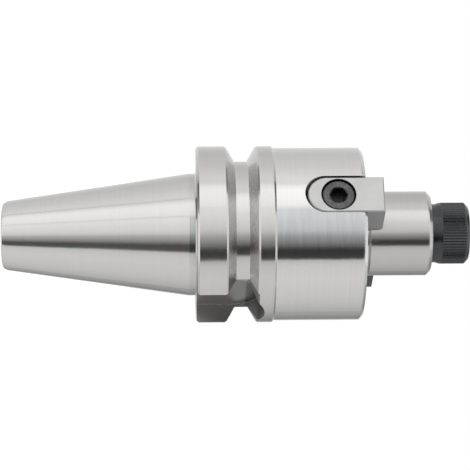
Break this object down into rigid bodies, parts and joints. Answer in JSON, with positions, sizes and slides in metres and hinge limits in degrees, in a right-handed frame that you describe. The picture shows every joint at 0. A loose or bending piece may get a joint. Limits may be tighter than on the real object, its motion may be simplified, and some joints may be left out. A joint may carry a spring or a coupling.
{
  "type": "face mill holder",
  "caption": "Steel tapered spindle holder for a bored face mill, with gripper flange, drive slots, keyed pilot and a knurled socket-head clamp screw.",
  "frame": {"origin": "on the holder's axis at the gauge line, where the taper has its nominal diameter", "axes": "+Z along the axis from the taper towards the cutter pilot; the drive slots are on +X and -X, the drive keys on -Y (front) and +Y (rear)"},
  "size_m": [0.046, 0.046, 0.1214],
  "materials": {
    "ground_steel": "ground, with fine rings around the axis",
    "key_steel": "fine matte, light grey",
    "black_steel": "black oxide, slightly oily"
  },
  "bodies": {
    "holder": {"holder_body": "ground_steel", "drive_key_front": "key_steel", "drive_key_rear": "key_steel", "key_screw_front": "black_steel", "key_screw_rear": "black_steel"},
    "clamp_screw": {"clamp_screw": "black_steel"}
  },
  "joints": [
    {"name": "clamp_screw_travel", "type": "slide", "parent": "holder", "child": "clamp_screw", "axis": [0, 0, 1], "range_m": [0, 0.022]}
  ]
}
